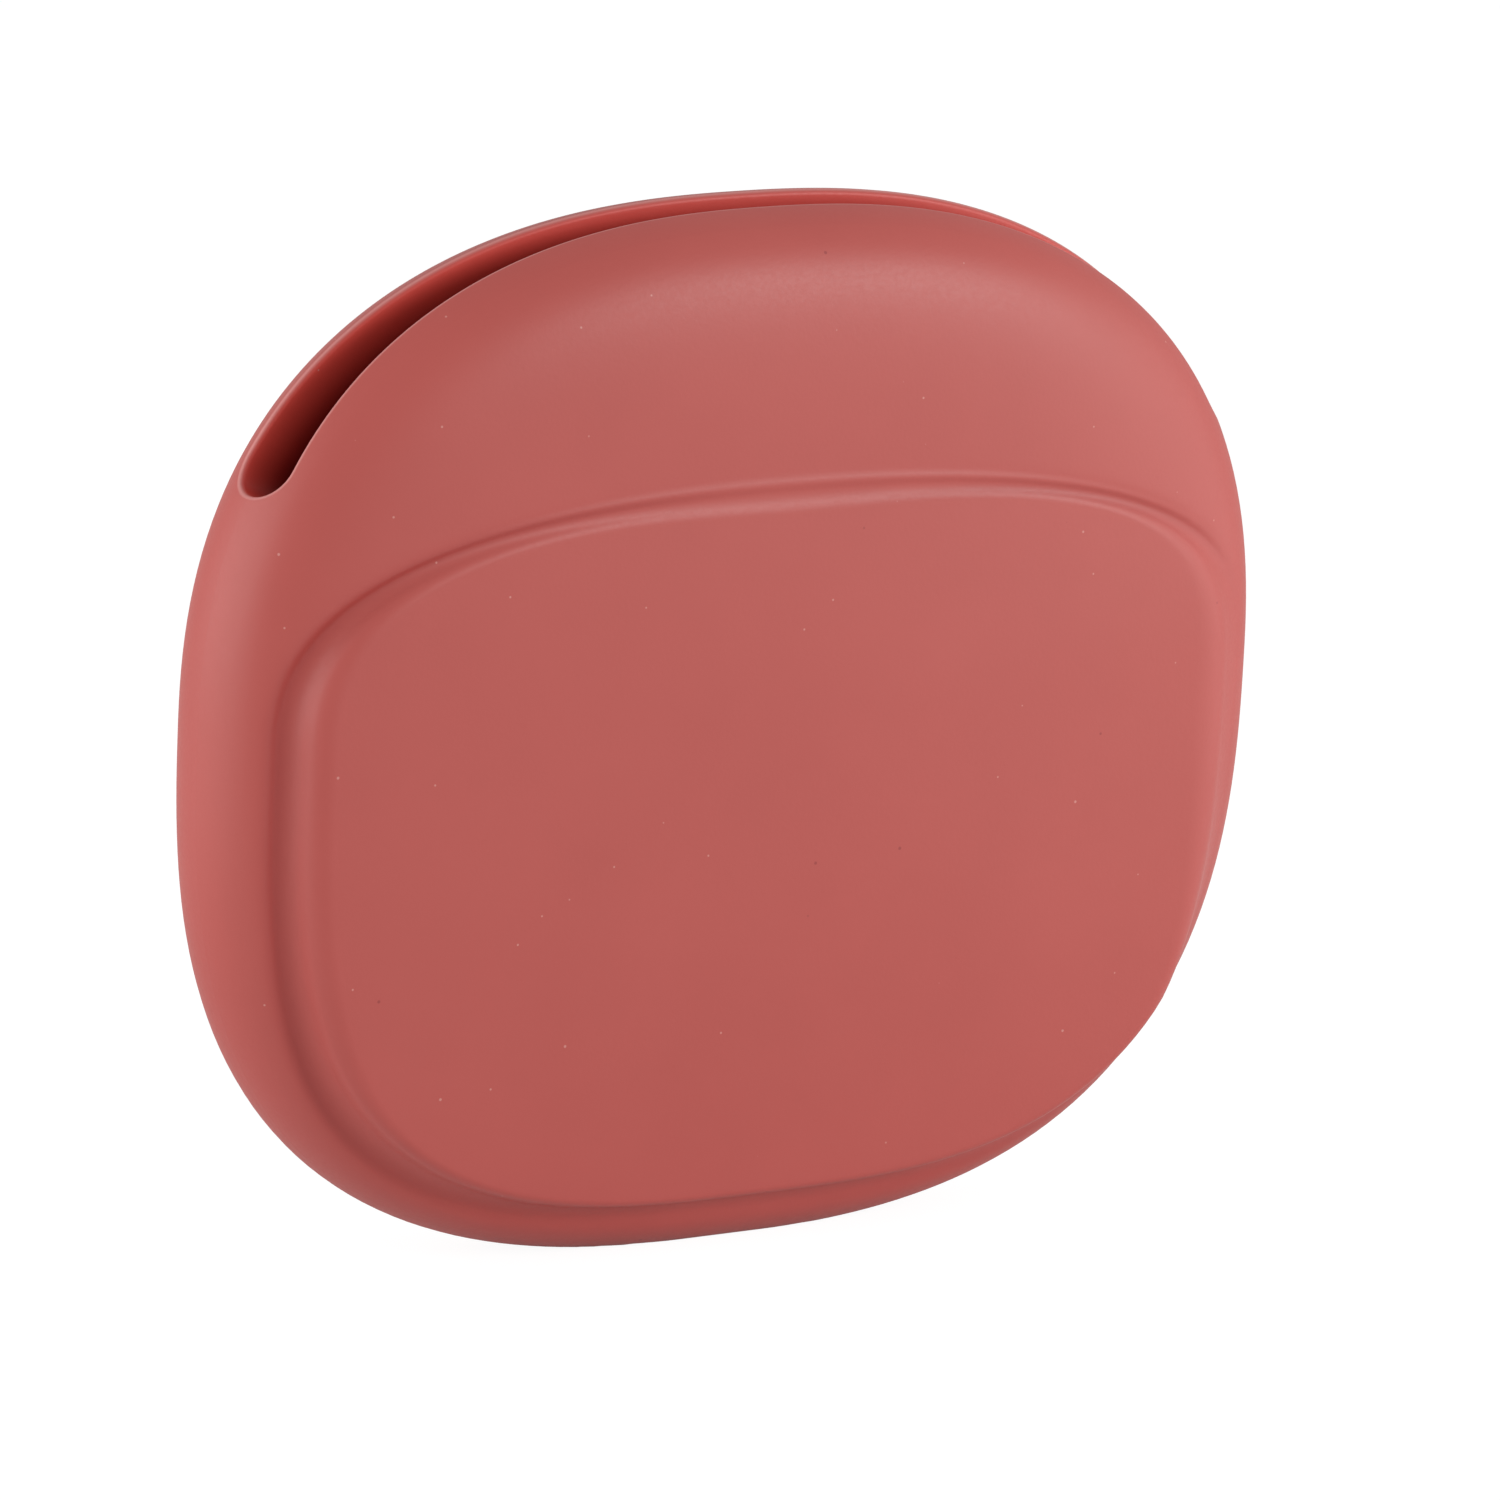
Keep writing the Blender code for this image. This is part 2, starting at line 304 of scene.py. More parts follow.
def panel_reach(turn, s):
    return outline_reach(turn, panel_half_width(turn, s), s.panel_up, s.panel_down, s.panel_up_power,
                         s.panel_down_power)


def hump(distance, place, width):
    offset = (distance - place) / width
    return exponential(-(offset * offset))


def up_the_step(inset, width, height, fillet_share):
    """Height gained up a step: a fillet at its foot, then a rounding that leads on at the same steepness."""
    radius = (width * width + height * height) / (2.0 * height)
    fillet, rounding = fillet_share * radius, (1.0 - fillet_share) * radius
    foot = fillet_share * width
    in_fillet = smaller(inset, foot)
    to_flat = width - larger(smaller(inset, width), foot)
    gained = fillet - (fillet * fillet - in_fillet * in_fillet) ** 0.5
    missing = rounding - (rounding * rounding - to_flat * to_flat) ** 0.5
    return gained + (1.0 - fillet_share) * height - missing


def front_with_panel(turn, share, s):
    """Depth of the outer front skin, with the panel, its groove and its ridge."""
    panel = panel_reach(turn, s)
    reach = share * body_reach(turn, s)
    inset = panel - reach
    is_up = above(sine(turn), 0.0)
    across = distance_from_zero(cosine(turn)) * panel / panel_half_width(turn, s)
    at_side = across ** SIDE_POWER
    at_bottom = (1.0 - at_side) * (1.0 - is_up)
    at_top = (1.0 - at_side) * is_up

    groove = s.groove_depth * (1.0 - GROOVE_LOST_AT_TOP * at_top - GROOVE_LOST_AT_BOTTOM * at_bottom)
    groove = groove * fade_to_right(turn)
    ridge = at_top * s.ridge_height * hump(inset, -s.ridge_place, s.ridge_width)
    plain = front_depth(share, s)

    from_middle = smaller(reach / panel, 1.0)
    crown = s.crown_at_side * at_side + s.crown_at_top * at_top + s.crown_at_bottom * at_bottom
    crown = crown + left_or_right(turn, 0.0, CORNER_PEAK) * s.crown_at_corner * at_side * at_top
    crown = crown * from_middle * from_middle
    height = larger(s.panel_front - crown - plain + groove, LOWEST_STEP)

    side_width = left_or_right(turn, s.step_at_left, s.step_at_top)
    width = side_width * at_side + s.step_at_top * at_top + s.step_at_bottom * at_bottom
    wide_share = left_or_right(turn, 0.0, 1.0)
    width = width + wide_share * (s.step_at_right - s.step_at_top) * across ** WIDE_STEP_POWER
    width = larger(width, STEEPEST_STEP * height)

    fillet_share = s.fillet_at_side * at_side + s.fillet_at_top * (1.0 - at_side)
    risen = up_the_step(larger(inset, 0.0), width, height, fillet_share)
    filled = 1.0 - hump(smaller(inset, 0.0), 0.0, s.groove_width)
    return plain + ridge - groove + risen + groove * filled


face_in_mm = 1000 * float(front_with_panel(0.0, 0.5, sizes))
print("halfway to the right, the panel's face is", round(face_in_mm, 2), "mm in front of the mid plane")

# %% [markdown]
# ## The mouth
#
# The mouth is a slot that runs over the crown, from one side to the other. Seen from the side it is a U: two
# straight faces with a round end below. Its faces aren't parallel: the slot widens from the top to the
# sides. Inside, each face goes on as a thin flange, which keeps the lip firm. A lip's edge is rounded, and
# so is the round end, so the edge is followed at several distances from the slot, like the contour lines
# round a lake.

# %% Describe the mouth
MOUTH_TOP_FRONT, MOUTH_SIDE_FRONT = -0.0026, -0.0040
MOUTH_TOP_GAP, MOUTH_SIDE_GAP = 0.0030, 0.0052
MOUTH_END_HEIGHT = 0.0603
MOUTH_END_DEPTH = 0.0026
ROUND_END_TOP = MOUTH_END_HEIGHT + MOUTH_END_DEPTH
FRONT_ROUNDING, BACK_ROUNDING, END_ROUNDING = 0.00035, 0.00050, 0.00035
TURN_SAMPLES = 4001


def mouth_middle_and_half(x):
    bend = np.minimum(1.0, np.abs(x) / sizes.half_width) ** 2
    front = MOUTH_TOP_FRONT + (MOUTH_SIDE_FRONT - MOUTH_TOP_FRONT) * bend
    gap = MOUTH_TOP_GAP + (MOUTH_SIDE_GAP - MOUTH_TOP_GAP) * bend
    return front + gap / 2, gap / 2


upper_turns = np.linspace(0.0, math.pi / 2, TURN_SAMPLES)
upper_heights = sizes.widest_height + body_reach(upper_turns, sizes) * np.sin(upper_turns)


def turn_at_height(height):
    """The turn on the right hand side at which the rim reaches a height."""
    return np.interp(height, upper_heights, upper_turns)


end_turn = turn_at_height(MOUTH_END_HEIGHT)
end_x = float(body_reach(end_turn, sizes) * np.cos(end_turn))
seam_level = float(mouth_middle_and_half(end_x)[0])
print("the mouth ends at x =", round(end_x * 1000, 1), "mm; its seam is at y =", round(seam_level * 1000, 2))

# %% [markdown]
# ## The net
#
# Each wall is a net: columns go round the outline, rows go from the middle of the outer face over the lip's
# edge and back along the inside. The net is flat at first. It only says, for each of its knots, which turn
# and which share it belongs to, whether it is on the front or the back, on the outer or the inner skin, and
# how far it is sunk into the wall. The pouch is split into a front and a back wall along the line where a
# mould would part. Knots lie close together where the form turns sharply, and nowhere else. The columns
# come first. They stand evenly along the crown and the belly, and fan out round the mouth's ends.

# %% Lay out the columns
FAN_COLUMNS = 10
CROWN_COLUMNS = 121
BELLY_COLUMNS = 141
FAN_SPREAD = 0.0034
FIRST_BELLY_STEP = 0.0007

side_turn = float(turn_at_height(ROUND_END_TOP))
fan_steps = np.arange(1, FAN_COLUMNS + 1) / FAN_COLUMNS
half_crown = np.linspace(math.pi / 2, side_turn, CROWN_COLUMNS // 2 + 1)
# For the columns from the top down to the mouth's end: the angle round the round end, the turn at the slot,
# and the turn away from the slot, where the columns have fanned out
fan = np.concatenate([np.zeros(len(half_crown)), fan_steps * math.pi / 2])
crown = np.concatenate([half_crown, np.full(FAN_COLUMNS, side_turn)])
wide = np.concatenate([half_crown, turn_at_height(ROUND_END_TOP - FAN_SPREAD * fan_steps)])
belly_start = float(turn_at_height(ROUND_END_TOP - FAN_SPREAD - FIRST_BELLY_STEP))
belly = np.linspace(math.pi - belly_start, 2 * math.pi + belly_start, BELLY_COLUMNS)


def turns_all_round(quarter_turns):
    """Right hand turns from the mouth's end up to the top, their mirror image, then the belly."""
    return np.concatenate([quarter_turns[::-1], math.pi - quarter_turns[1:], belly])


def values_all_round(quarter_values, belly_value):
    return np.concatenate([quarter_values[::-1], quarter_values[1:], np.full(len(belly), belly_value)])


wide_turns = turns_all_round(wide)
in_mouth = values_all_round(np.ones(len(fan)), 0.0)
print("columns:", len(wide_turns), "of which", int(in_mouth.sum()), "cross the mouth")


# %% Find the skin at a level, and the contours round the slot
SHARE_SAMPLES = 6001
LEAST_SHARE = 0.6


def share_from(depth_rule, wanted):
    """The share of the outline at which the skin stands a wanted distance from the mid plane."""
    shares = np.linspace(1.0, LEAST_SHARE, SHARE_SAMPLES)
    return np.interp(wanted, depth_rule(shares), shares)


def at_level(level, inner):
    """Share and side of the skin at a signed distance from the mid plane."""
    front = share_from(lambda share: front_depth(share, sizes, sizes.wall * inner), -level)
    back = share_from(lambda share: back_depth(share, sizes, sizes.back_wall * inner), level)
    return np.where(level < 0, front, back), np.where(level < 0, -1.0, 1.0)


def edge_rounding(hand):
    """How far the edge's rounding reaches. It differs between the two lips and the round ends."""
    at_lip = FRONT_ROUNDING if hand < 0 else BACK_ROUNDING
    return END_ROUNDING + (at_lip - END_ROUNDING) * np.cos(fan)


def contour_row(away, hand):
    """Turns and levels of the contour that lies away from the slot's edge. Below, it follows the seam."""
    height = ROUND_END_TOP - (MOUTH_END_DEPTH + away) * np.sin(fan)
    turn = np.where(fan > 0, turn_at_height(height), crown)
    middle, half = mouth_middle_and_half(body_reach(turn, sizes) * np.cos(turn))
    level = middle + hand * (half + away) * np.cos(fan)
    return turns_all_round(turn), values_all_round(level, seam_level)


slot_levels = [contour_row(0.0, hand)[1][len(fan) - 1] for hand in (-1, 1)]
print("at the top the slot runs from y =", *(round(level * 1000, 2) for level in slot_levels), "mm")

# %% [markdown]
# ## The rows
#
# The rows of both walls pass the mouth in the same way: over the rim, round the lip's edge, down the slot's
# face, round the flange's foot, up its hidden face and inwards. The columns below the mouth have no slot to
# go round, so there the same rows only cross the wall along the seam. `hand` is -1 for the front wall and 1
# for the back wall.

# %% Collect the rows of a net
class Net:
    """Rows of knots. Each row holds turn, share, side, inner and sink for every column."""

    def __init__(self):
        self.rows = []

    def add(self, turn, share, side, inner=0.0, sink=0.0):
        columns = np.zeros(len(turn))
        self.rows.append(np.stack([turn, share + columns, side + columns, inner + columns, sink + columns]))

    def add_sunk(self, turn, level, sink, progress):
        """A row sunk into the mouth. Beside the mouth, where the walls meet, it only crosses the wall."""
        share, side = at_level(level, 0)
        self.add(turn, share, side, 0.0, in_mouth * sink + (1 - in_mouth) * sizes.wall * progress)


RIM_ROWS = 11
EDGE_ROWS = 6
FLANGE_ROWS = 8
FLANGE_DEPTH = 0.0048
FLANGE_THICKNESS = 0.0010
FLANGE_ROUNDING = 0.0004
FLANGE_BULGE = 0.0003


def add_rim_rows(net, hand, shoulder_level):
    edge_turn, edge_level = contour_row(edge_rounding(hand), hand)
    for part in np.linspace(0.0, 1.0, RIM_ROWS + 1)[1:]:
        level = shoulder_level + (edge_level - shoulder_level) * part
        turn = wide_turns + (edge_turn - wide_turns) * part ** 2
        net.add(turn, *at_level(level, 0))


def add_edge_rows(net, hand):
    """Round the lip's edge in a quarter circle, then down the slot's face."""
    rounding = values_all_round(edge_rounding(hand), 0.0)
    # Each step holds the part of the rounding still left to the slot, and how far it is sunk
    path = [(1 - math.sin(curl), rounding * (1 - math.cos(curl)))
            for curl in np.linspace(0.0, math.pi / 2, EDGE_ROWS + 1)[1:]]
    path += [(0.0, rounding + (FLANGE_DEPTH - rounding) * part)
             for part in np.linspace(0.0, 1.0, FLANGE_ROWS + 1)[1:]]
    for step, (part, sink) in enumerate(path, 1):
        net.add_sunk(*contour_row(edge_rounding(hand) * part, hand), sink, step / len(path))


def add_flange_rows(net, hand):
    for away in (FLANGE_ROUNDING, FLANGE_THICKNESS - FLANGE_ROUNDING):
        net.add_sunk(*contour_row(away, hand), FLANGE_DEPTH + FLANGE_BULGE, 1.0)
    for sink in np.linspace(FLANGE_DEPTH, sizes.wall + FLANGE_ROUNDING, FLANGE_ROWS):
        net.add_sunk(*contour_row(FLANGE_THICKNESS, hand), sink, 1.0)


def add_inner_rim_rows(net, hand, inner_level):
    root_turn, root_level = contour_row(FLANGE_THICKNESS, hand)
    for part in np.linspace(0.0, 1.0, RIM_ROWS + 1):
        level = root_level + (inner_level - root_level) * part
        net.add(root_turn + (wide_turns - root_turn) * part, *at_level(level, 1), 1.0)


def add_mouth_rows(net, hand, shoulder_level, inner_level):
    add_rim_rows(net, hand, shoulder_level)
    add_edge_rows(net, hand)
    add_flange_rows(net, hand)
    add_inner_rim_rows(net, hand, inner_level)


print("the flange reaches", FLANGE_DEPTH * 1000, "mm down from the lip's edge")

# %% Lay out both walls
FRONT_SHOULDER_SHARE, BACK_SHOULDER_SHARE = 0.955, 0.93
INNER_SHOULDER_LEVEL = 0.0044
FACE_PARTS = (0.06, 0.3, 0.5, 0.68, 0.84, 1.0)
STEP_START = 0.0058             # how far inside its foot the rows up the panel's step begin
STEP_ROWS, STEP_CROWDING = 36, 1.5
DOME_ROWS, DOME_CROWDING = 40, 1.9
BACK_FACE_SHARES = (0.06, 0.2, 0.35, 0.48)
BACK_ROLL_ROWS = 19
FRONT_INNER_SHARES = np.linspace(0.965, 0.42, 12)
BACK_INNER_SHARES = np.linspace(0.92, 0.48, 12)


def front_net():
    """Panel face, the step down to its foot, the dome beside it, the mouth, and the inner skin."""
    net = Net()
    body = body_reach(wide_turns, sizes)
    panel = panel_reach(wide_turns, sizes)
    for part in FACE_PARTS:
        net.add(wide_turns, part * (panel - STEP_START) / body, -1.0)
    for part in np.linspace(1.0, 0.0, STEP_ROWS + 1)[1:]:
        net.add(wide_turns, (panel - STEP_START * part ** STEP_CROWDING) / body, -1.0)
    for part in np.linspace(0.0, 1.0, DOME_ROWS + 1)[1:]:
        reach = panel + (FRONT_SHOULDER_SHARE * body - panel) * part ** DOME_CROWDING
        net.add(wide_turns, reach / body, -1.0)
    shoulder_level = -float(front_depth(FRONT_SHOULDER_SHARE, sizes))
    add_mouth_rows(net, -1, shoulder_level, -INNER_SHOULDER_LEVEL)
    for share in FRONT_INNER_SHARES:
        net.add(wide_turns, share, -1.0, 1.0)
    return net


def back_net():
    """The flat, the roll round to the shoulder, the mouth, and the inner skin."""
    net = Net()
    for share in BACK_FACE_SHARES:
        net.add(wide_turns, share, 1.0)
    flat = sizes.back_flat_share
    for part in np.linspace(0.0, 1.0, BACK_ROLL_ROWS + 1)[1:]:
        net.add(wide_turns, flat + (BACK_SHOULDER_SHARE - flat) * part, 1.0)
    shoulder_level = float(back_depth(BACK_SHOULDER_SHARE, sizes))
    add_mouth_rows(net, 1, shoulder_level, INNER_SHOULDER_LEVEL)
    for share in BACK_INNER_SHARES:
        net.add(wide_turns, share, 1.0, 1.0)
    return net


nets = {"front_wall": front_net(), "back_wall": back_net()}
for wall_name, wall_net in nets.items():
    print(wall_name, "has", len(wall_net.rows), "rows")

# %% Make a flat mesh of a net
KNOT_VALUES = ("turn", "share", "side", "inner", "sink")
FLAT_SPACING = 0.0001


def net_mesh(name, net):
    """The flat net as a mesh, closed round its columns and capped at both ends."""
    values = np.array(net.rows)
    rows, _, columns = values.shape
    knots = [(column * FLAT_SPACING, row * FLAT_SPACING, 0.0)
             for row in range(rows) for column in range(columns)]
    faces = []
    for row in range(rows - 1):
        for column in range(columns):
            beside = (column + 1) % columns
            faces.append((row * columns + column, row * columns + beside,
                          (row + 1) * columns + beside, (row + 1) * columns + column))
    faces.append(tuple(reversed(range(columns))))
    faces.append(tuple((rows - 1) * columns + column for column in range(columns)))
    mesh = bpy.data.meshes.new(name)
    mesh.from_pydata(knots, [], faces)
    for index, value_name in enumerate(KNOT_VALUES):
        attribute = mesh.attributes.new(value_name, "FLOAT", "POINT")
        attribute.data.foreach_set("value", values[:, index, :].ravel().astype(np.float32))
    piece = bpy.data.objects.new(name, mesh)
    bpy.context.scene.collection.objects.link(piece)
    return piece


front_wall, back_wall = (net_mesh(wall_name, wall_net) for wall_name, wall_net in nets.items())
print("knots: front", len(front_wall.data.vertices), "and back", len(back_wall.data.vertices))


# %% [markdown]
# ## The silicone
#
# Silicone like this is matte and evenly coloured, with a faint skin from the mould and a little dust, which
# silicone always gathers. A fine noise bump breaks up the sheen, a broad noise varies the colour by a few
# percent, and sparse specks, from a Voronoi pattern whose cells are mostly left blank, are the dust.
# Noise can't know where the mouth or the panel is. So the walls carry three values on their points, which
# are worked out further down and paint light and shade into the red: a painted glow and then painted shade
# towards the hollow of the mouth and on the inner skin, painted shade in the valley beside the panel, and a
# painted highlight along the thin edge of the lips.

# %% Name the colours of the silicone
SILICONE_RED = (0.508, 0.0930, 0.0790)
SILICONE_DEEP = (0.492, 0.0885, 0.0750)
# Painted light in the mouth: a painted glow where light would shine through the thin silicone, then painted
# shade deeper in the hollow and on the inner skin
SILICONE_PAINTED_GLOW = (0.700, 0.0670, 0.0490)
SILICONE_PAINTED_HOLLOW_SHADE = (0.170, 0.0040, 0.0028)
# Painted shade in the valley beside the panel
SILICONE_PAINTED_CREASE_SHADE = (0.345, 0.0330, 0.0270)
# A painted highlight along the lips' edges
SILICONE_PAINTED_EDGE_HIGHLIGHT = (0.680, 0.2600, 0.2400)
PAINTED_GLOW_SPAN, PAINTED_HOLLOW_SHADE_SPAN = (0.0, 0.08), (0.12, 1.0)
CLOUD_SCALE, CLOUD_SPAN = 70.0, (0.35, 0.65)
GRAIN_SCALE, GRAIN_SPAN = 3200.0, (0.3, 0.7)
GRAIN_STRENGTH, GRAIN_DEPTH = 0.16, 0.00005
SILICONE_ROUGHNESS = (0.42, 0.48)
SILICONE_GLOSS = 0.48

# Dust: the pattern's scale, a speck's radius in it, the share of cells that hold a speck, and its colour
DUST_PALE = (0.62, 0.25, 0.22)
DUST_DARK = (0.36, 0.055, 0.050)
DUST = ((300.0, 0.040, 0.30, DUST_PALE), (520.0, 0.055, 0.30, DUST_PALE), (280.0, 0.045, 0.25, DUST_DARK))
SPECK_CORE = 0.6                # share of a speck's radius within which it is solid
print("silicone red:", SILICONE_RED, "with", len(DUST), "kinds of dust")


# %% Make helpers for materials
def shader_node(tree, kind, **inputs):
    """A shader node with its input sockets set or linked. Names with blanks are written with underscores."""
    node = tree.nodes.new(kind)
    for name, value in inputs.items():
        socket = node.inputs[name.replace("_", " ")]
        if isinstance(value, bpy.types.NodeSocket):
            tree.links.new(value, socket)
        else:
            socket.default_value = value
    return node


def colour_mix(tree, share, first, second):
    """Mixes two colours, each a tuple or a socket."""
    node = tree.nodes.new("ShaderNodeMix")
    node.data_type = "RGBA"
    tree.links.new(share, node.inputs["Factor"])
    for socket, value in ((node.inputs[6], first), (node.inputs[7], second)):
        if isinstance(value, bpy.types.NodeSocket):
            tree.links.new(value, socket)
        else:
            socket.default_value = (*value, 1.0)
    return node.outputs[2]


def remap(tree, value, span, to_span=(0.0, 1.0)):
    """Stretches a span of values over another span."""
    node = shader_node(tree, "ShaderNodeMapRange", Value=value)
    node.inputs["From Min"].default_value, node.inputs["From Max"].default_value = span
    node.inputs["To Min"].default_value, node.inputs["To Max"].default_value = to_span
    return node.outputs["Result"]


def specks(tree, where, scale, radius, rarity):
    """1 on sparse round specks, 0 elsewhere."""
    cells = shader_node(tree, "ShaderNodeTexVoronoi", Vector=where, Scale=scale)
    spot = Wire(remap(tree, cells.outputs["Distance"], (radius, radius * SPECK_CORE)))
    lottery = shader_node(tree, "ShaderNodeSeparateColor", Color=cells.outputs["Color"])
    return (spot * above(Wire(lottery.outputs["Red"]), 1.0 - rarity)).socket


def mesh_value(tree, name):
    """A value that the mesh carries on its points; 0 where it has none."""
    node = tree.nodes.new("ShaderNodeAttribute")
    node.attribute_name = name
    return node.outputs["Fac"]


def new_material(name):
    material = bpy.data.materials.new(name)
    material.use_nodes = True
    return material, material.node_tree, material.node_tree.nodes["Principled BSDF"]


# %% Mix the silicone
def make_silicone():
    material, tree, shader = new_material("dusty_red_silicone_with_painted_light")
    where = tree.nodes.new("ShaderNodeTexCoord").outputs["Object"]
    clouds = shader_node(tree, "ShaderNodeTexNoise", Vector=where, Scale=CLOUD_SCALE, Detail=3.0)
    colour = colour_mix(tree, remap(tree, clouds.outputs["Fac"], CLOUD_SPAN), SILICONE_DEEP, SILICONE_RED)
    # Towards the hollow of the mouth and on the inner skin: a painted glow, then painted shade
    inside_painted_glow_and_shade = mesh_value(tree, "inside_painted_glow_and_shade")
    colour = colour_mix(tree, remap(tree, inside_painted_glow_and_shade, PAINTED_GLOW_SPAN), colour, SILICONE_PAINTED_GLOW)
    colour = colour_mix(tree, remap(tree, inside_painted_glow_and_shade, PAINTED_HOLLOW_SHADE_SPAN), colour, SILICONE_PAINTED_HOLLOW_SHADE)
    # Painted shade in the valley beside the panel
    colour = colour_mix(tree, mesh_value(tree, "painted_crease_shade"), colour, SILICONE_PAINTED_CREASE_SHADE)
    # A painted highlight along the lips' edges
    colour = colour_mix(tree, mesh_value(tree, "edge"), colour, SILICONE_PAINTED_EDGE_HIGHLIGHT)
    for scale, radius, rarity, dust in DUST:
        colour = colour_mix(tree, specks(tree, where, scale, radius, rarity), colour, dust)
    tree.links.new(colour, shader.inputs["Base Color"])
    grain = shader_node(tree, "ShaderNodeTexNoise", Vector=where, Scale=GRAIN_SCALE, Detail=2.0).outputs["Fac"]
    tree.links.new(remap(tree, grain, GRAIN_SPAN, SILICONE_ROUGHNESS), shader.inputs["Roughness"])
    bump = shader_node(tree, "ShaderNodeBump", Strength=GRAIN_STRENGTH, Distance=GRAIN_DEPTH, Height=grain)
    tree.links.new(bump.outputs["Normal"], shader.inputs["Normal"])
    shader.inputs["Specular IOR Level"].default_value = SILICONE_GLOSS
    print(material.name, "has", len(tree.nodes), "nodes")
    return material


silicone = make_silicone()

# %% [markdown]
# ## The walls
#
# Geometry Nodes now lift the flat net to the form. The tree reads the five values of each knot, works out
# its place with the rules above, and sets it. The sizes are the tree's named inputs, so anyone can open the
# modifier and try another outline. The underside is cut off at the ground, where the pouch stands. The
# lifted net becomes a plain mesh.

# %% Build the tree that lifts a net
LEAST_UPRIGHT = 0.001           # keeps the division by an upright of nearly 0 from running away


def named_value(tree, name):
    node = tree.nodes.new("GeometryNodeInputNamedAttribute")
    node.data_type = "FLOAT"
    node.inputs["Name"].default_value = name
    return Wire(node.outputs["Attribute"])


def lifted_place(turn, share, side, inner, sink, s):
    """X, Y and Z of a knot."""
    upright = larger(distance_from_zero(sine(turn)), LEAST_UPRIGHT)
    on_ground = s.widest_height / upright
    outer_reach = smaller(share * body_reach(turn, s), on_ground) - sink
    inner_reach = share * (body_reach(turn, s) - s.wall)
    reach = outer_reach * (1.0 - inner) + inner_reach * inner
    is_back = above(side, 0.0)
    outer_front = front_with_panel(turn, share, s)
    inner_front = front_depth(share, s, s.wall)
    front = outer_front * (1.0 - inner) + inner_front * inner
    back = back_depth(share, s, s.back_wall * inner)
    level = back * is_back - front * (1.0 - is_back)
    return reach * cosine(turn), level, s.widest_height + reach * sine(turn)


def make_wall_tree(material):
    tree = bpy.data.node_groups.new("lift_the_net", "GeometryNodeTree")
    tree.interface.new_socket("Net", in_out="INPUT", socket_type="NodeSocketGeometry")
    tree.interface.new_socket("Wall", in_out="OUTPUT", socket_type="NodeSocketGeometry")
    for name, value in SIZES.items():
        socket = tree.interface.new_socket(name, in_out="INPUT", socket_type="NodeSocketFloat")
        socket.default_value = value
    entry = tree.nodes.new("NodeGroupInput")
    sockets = SimpleNamespace(**{name: Wire(entry.outputs[name]) for name in SIZES})
    place = lifted_place(*(named_value(tree, name) for name in KNOT_VALUES), sockets)
    joined = tree.nodes.new("ShaderNodeCombineXYZ")
    for axis, wire in zip("XYZ", place):
        tree.links.new(wire.socket, joined.inputs[axis])
    lift = tree.nodes.new("GeometryNodeSetPosition")
    realise = tree.nodes.new("GeometryNodeRealizeInstances")
    dress = tree.nodes.new("GeometryNodeSetMaterial")
    dress.inputs["Material"].default_value = material
    leave = tree.nodes.new("NodeGroupOutput")
    tree.links.new(entry.outputs["Net"], lift.inputs["Geometry"])
    tree.links.new(joined.outputs[0], lift.inputs["Position"])
    tree.links.new(lift.outputs[0], realise.inputs[0])
    tree.links.new(realise.outputs[0], dress.inputs["Geometry"])
    tree.links.new(dress.outputs[0], leave.inputs["Wall"])
    print(tree.name, "has", len(tree.nodes), "nodes")
    return tree


wall_tree = make_wall_tree(silicone)


# %% Make helpers that finish a mesh
def set_inputs(modifier, values):
    """Sets a Geometry Nodes modifier's inputs by their sockets' identifiers."""
    for item in modifier.node_group.interface.items_tree:
        if item.item_type == "SOCKET" and item.in_out == "INPUT" and item.name in values:
            modifier[item.identifier] = values[item.name]


def make_plain(piece):
    """Turns what the modifiers give into the piece's own mesh."""
    bpy.context.view_layer.update()
    evaluated = piece.evaluated_get(bpy.context.evaluated_depsgraph_get())
    finished = bpy.data.meshes.new_from_object(evaluated)
    piece.modifiers.clear()
    piece.data = finished


SAME_PLACE = 1e-7               # points that lie closer together than this are one point


def clean_and_smooth(mesh, crease_degrees=40):
    """Merges points in the same place, points the faces outwards and smooths all but sharp edges."""
    shape = bmesh.new()
    shape.from_mesh(mesh)
    bmesh.ops.remove_doubles(shape, verts=shape.verts, dist=SAME_PLACE)
    bmesh.ops.recalc_face_normals(shape, faces=shape.faces)
    shape.to_mesh(mesh)
    shape.free()
    mesh.shade_smooth()
    mesh.set_sharp_from_angle(angle=math.radians(crease_degrees))


# %% [markdown]
# ## Where light and shade are painted into the red
#
# The three values that paint glow, shade and a highlight into the silicone are worked out for each point from
# its turn, its share and how far it is sunk. The painted shade of the valley beside the panel is darkest at
# the left. It fades towards the top, the bottom and the right, as the groove does. At the upper right it moves
# up the step a little, where the step is widest.

# %% Work out the colour values
# The sink over which the mouth's painted glow and painted shade come in
STILL_OUTSIDE, FULLY_INSIDE = 0.0001, 0.0036
# How dark the painted shade in the valley is, where it lies and how it fades round the panel
CREASE_PAINTED_SHADE, CREASE_PLACE, CREASE_WIDTH = 0.55, 0.0003, 0.0009
CREASE_FADE_UP, CREASE_FADE_DOWN = 3, 4
CREASE_LOST_AT_BOTTOM = 0.85
CREASE_NARROWED_AT_TOP = 0.5
CREASE_CLIMB, CLIMB_QUICKNESS = 0.0015, 2.0
# The painted highlight along the lips' edges: its strength, and how far sunk and how wide it is
EDGE_PAINTED_HIGHLIGHT, EDGE_SINK, EDGE_WIDTH = 0.90, 0.00006, 0.00009


def positive_part(values):
    return np.clip(values, 0.0, 1.0)


